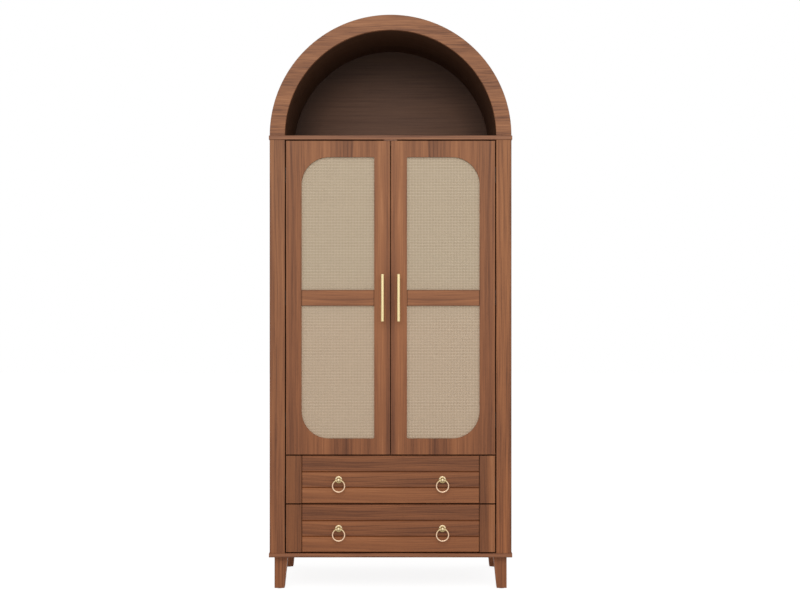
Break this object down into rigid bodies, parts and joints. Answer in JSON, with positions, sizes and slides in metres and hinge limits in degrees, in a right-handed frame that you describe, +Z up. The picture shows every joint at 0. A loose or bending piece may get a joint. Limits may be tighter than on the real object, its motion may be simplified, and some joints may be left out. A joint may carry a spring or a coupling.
{
  "type": "wardrobe",
  "caption": "Free-standing wardrobe with an arched open niche on top, a pair of hinged cane-panelled doors over a hanging rail, and drawers with ring pulls, on tapered legs.",
  "frame": {"origin": "on the floor, at the middle of the width and of the whole depth, bar handles included", "axes": "+X to the wardrobe's right as seen from the front, +Y towards the wall, +Z up; the front faces -Y"},
  "size_m": [0.8, 0.4774, 1.8899],
  "materials": {
    "veneer_boards": "satin walnut veneer, grain across",
    "veneer_sides": "satin walnut veneer, grain upright",
    "veneer_doors": "satin walnut veneer, grain upright",
    "veneer_drawers": "satin walnut veneer, grain across",
    "veneer_lining": "satin walnut veneer",
    "veneer_legs": "satin walnut",
    "core_wood": "plain plywood",
    "drawer_box_wood": "plain birch plywood",
    "cane": "woven cane, matt",
    "brass": "satin brass",
    "steel": "zinc-plated",
    "chrome": "polished",
    "catch_plastic": "brown plastic",
    "glide_plastic": "dark felt-faced plastic"
  },
  "bodies": {
    "carcass": {"arch_front_ring": "veneer_boards", "arch_inner_skin": "veneer_lining", "arch_outer_skin": "veneer_sides", "arch_ribs": "core_wood", "back_panel": "core_wood", "back_panel_screws": "steel", "bottom_board": "veneer_boards", "cabinet_runners": "steel", "door_catch": "catch_plastic", "front_legs": "veneer_legs", "hanging_rail": "chrome", "hinge_arms": "steel", "left_front_stile": "veneer_sides", "left_inner_panel": "veneer_lining", "left_side_panel": "veneer_sides", "leg_glides": "glide_plastic", "leg_studs": "steel", "middle_shelf": "veneer_lining", "niche_back_panel": "veneer_lining", "rail_sockets": "chrome", "rear_legs": "veneer_legs", "right_front_stile": "veneer_sides", "right_inner_panel": "veneer_lining", "right_side_panel": "veneer_sides", "side_battens": "core_wood", "top_board": "veneer_boards"},
    "left_door": {"left_door_cane": "cane", "left_door_cane_retainers": "veneer_lining", "left_door_frame": "veneer_doors", "left_door_handle": "brass", "left_door_handle_screws": "steel", "left_door_hinge_cups": "steel", "left_door_mid_rail": "veneer_doors", "left_door_strike_plate": "steel"},
    "right_door": {"right_door_cane": "cane", "right_door_cane_retainers": "veneer_lining", "right_door_frame": "veneer_doors", "right_door_handle": "brass", "right_door_handle_screws": "steel", "right_door_hinge_cups": "steel", "right_door_mid_rail": "veneer_doors", "right_door_strike_plate": "steel"},
    "upper_drawer": {"upper_drawer_bottom": "drawer_box_wood", "upper_drawer_box_walls": "drawer_box_wood", "upper_drawer_front_planks": "veneer_drawers", "upper_drawer_front_stiles": "veneer_drawers", "upper_drawer_pull_mounts": "brass", "upper_drawer_runners": "steel", "upper_drawer_sub_front": "drawer_box_wood"},
    "lower_drawer": {"lower_drawer_bottom": "drawer_box_wood", "lower_drawer_box_walls": "drawer_box_wood", "lower_drawer_front_planks": "veneer_drawers", "lower_drawer_front_stiles": "veneer_drawers", "lower_drawer_pull_mounts": "brass", "lower_drawer_runners": "steel", "lower_drawer_sub_front": "drawer_box_wood"},
    "upper_left_pull_ring": {"upper_left_pull_ring": "brass"},
    "upper_right_pull_ring": {"upper_right_pull_ring": "brass"},
    "lower_left_pull_ring": {"lower_left_pull_ring": "brass"},
    "lower_right_pull_ring": {"lower_right_pull_ring": "brass"}
  },
  "joints": [
    {"name": "left_door_hinge", "type": "hinge", "parent": "carcass", "child": "left_door", "pos_m": [-0.3325, -0.2, 0.95975], "axis": [0, 0, -1], "range_deg": [0, 100]},
    {"name": "right_door_hinge", "type": "hinge", "parent": "carcass", "child": "right_door", "pos_m": [0.3325, -0.2, 0.95975], "axis": [0, 0, 1], "range_deg": [0, 100]},
    {"name": "upper_drawer_slide", "type": "slide", "parent": "carcass", "child": "upper_drawer", "axis": [0, -1, 0], "range_m": [0, 0.27]},
    {"name": "lower_drawer_slide", "type": "slide", "parent": "carcass", "child": "lower_drawer", "axis": [0, -1, 0], "range_m": [0, 0.27]},
    {"name": "upper_left_ring_swing", "type": "hinge", "parent": "upper_drawer", "child": "upper_left_pull_ring", "pos_m": [-0.1705, -0.22025, 0.36175], "axis": [-1, 0, 0], "range_deg": [-8, 170]},
    {"name": "upper_right_ring_swing", "type": "hinge", "parent": "upper_drawer", "child": "upper_right_pull_ring", "pos_m": [0.1705, -0.22025, 0.36175], "axis": [-1, 0, 0], "range_deg": [-8, 170]},
    {"name": "lower_left_ring_swing", "type": "hinge", "parent": "lower_drawer", "child": "lower_left_pull_ring", "pos_m": [-0.1705, -0.22025, 0.20125], "axis": [-1, 0, 0], "range_deg": [-8, 170]},
    {"name": "lower_right_ring_swing", "type": "hinge", "parent": "lower_drawer", "child": "lower_right_pull_ring", "pos_m": [0.1705, -0.22025, 0.20125], "axis": [-1, 0, 0], "range_deg": [-8, 170]}
  ]
}
